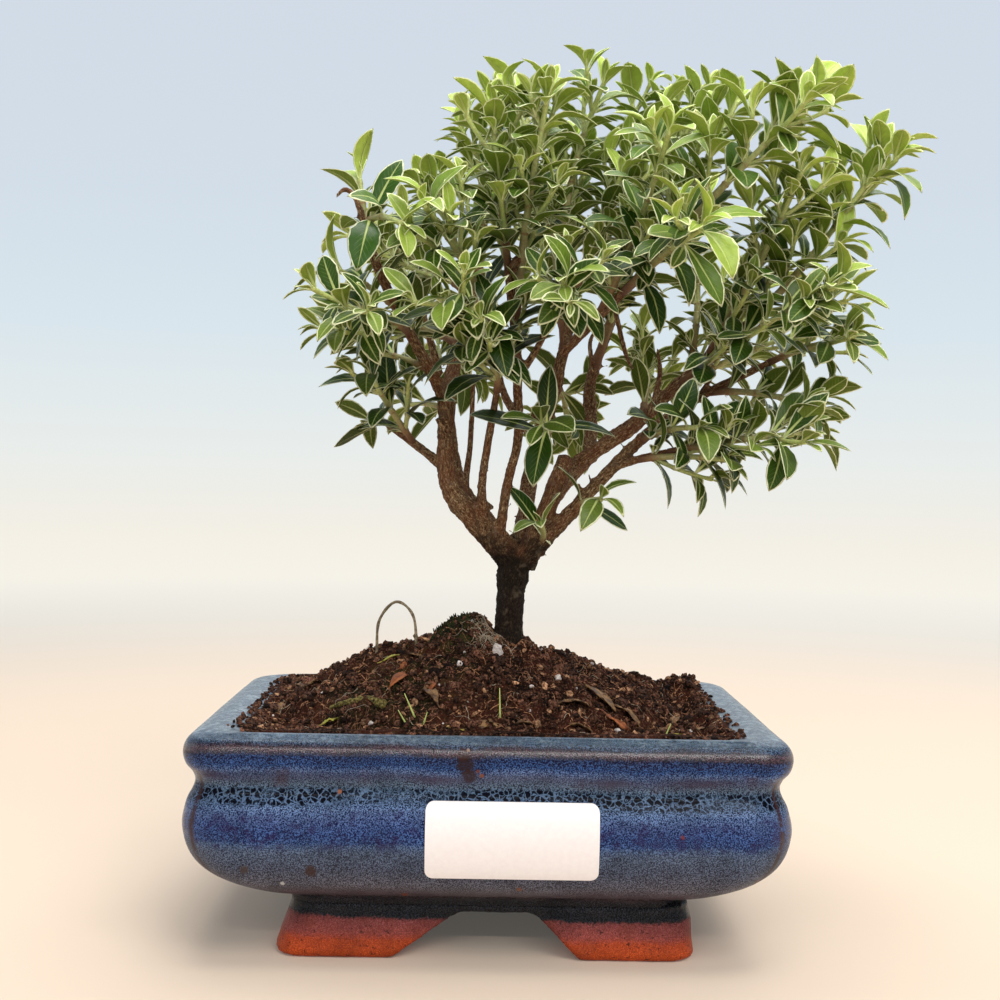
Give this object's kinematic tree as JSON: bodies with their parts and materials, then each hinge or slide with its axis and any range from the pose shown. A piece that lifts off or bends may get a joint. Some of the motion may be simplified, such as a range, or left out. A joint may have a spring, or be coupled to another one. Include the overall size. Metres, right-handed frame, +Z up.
{
  "type": "serissa bonsai",
  "caption": "Small potted bonsai tree: dark branching trunk with green leafy shoots, rooted in a mound of soil in a blue glazed rectangular pot with corner feet.",
  "frame": {"origin": "on the surface that the pot stands on, under the middle of the bounding box of tree and pot", "axes": "+Z up, -Y out of the pot's labelled front, +X to the viewer's right along the pot's long side"},
  "size_m": [0.1889, 0.1402, 0.2425],
  "materials": {
    "glaze": "glossy",
    "drain_mesh": "matte",
    "soil": "matte",
    "bark": "matte",
    "foliage": "satin",
    "dry_root": "matte",
    "dead_leaf": "matte",
    "label": "satin"
  },
  "bodies": {
    "root": {"pot": "glaze", "drain_mesh_left": "drain_mesh", "drain_mesh_right": "drain_mesh", "soil": "soil", "trunk": "bark", "label": "label", "root_loop": "dry_root", "fallen_leaf_1": "dead_leaf", "fallen_leaf_2": "dead_leaf", "fallen_leaf_3": "dead_leaf", "fallen_leaf_4": "dead_leaf", "fallen_leaf_5": "dead_leaf", "fallen_leaf_6": "dead_leaf", "shoot_01": "foliage", "shoot_02": "foliage", "shoot_03": "foliage", "shoot_04": "foliage", "shoot_05": "foliage", "shoot_06": "foliage", "shoot_07": "foliage", "shoot_08": "foliage", "shoot_09": "foliage", "shoot_10": "foliage", "shoot_11": "foliage", "shoot_12": "foliage", "shoot_13": "foliage", "shoot_14": "foliage", "shoot_15": "foliage", "shoot_16": "foliage", "shoot_17": "foliage", "shoot_18": "foliage", "shoot_19": "foliage", "shoot_20": "foliage", "shoot_21": "foliage", "shoot_22": "foliage", "shoot_23": "foliage", "shoot_24": "foliage", "shoot_25": "foliage", "shoot_26": "foliage", "shoot_27": "foliage", "shoot_28": "foliage", "shoot_29": "foliage", "shoot_30": "foliage", "shoot_31": "foliage", "shoot_32": "foliage", "shoot_33": "foliage", "shoot_34": "foliage", "shoot_35": "foliage", "shoot_36": "foliage", "shoot_37": "foliage", "shoot_38": "foliage", "shoot_39": "foliage", "shoot_40": "foliage", "shoot_41": "foliage", "shoot_42": "foliage", "shoot_43": "foliage", "shoot_44": "foliage", "shoot_45": "foliage", "shoot_46": "foliage", "shoot_47": "foliage"}
  },
  "joints": []
}
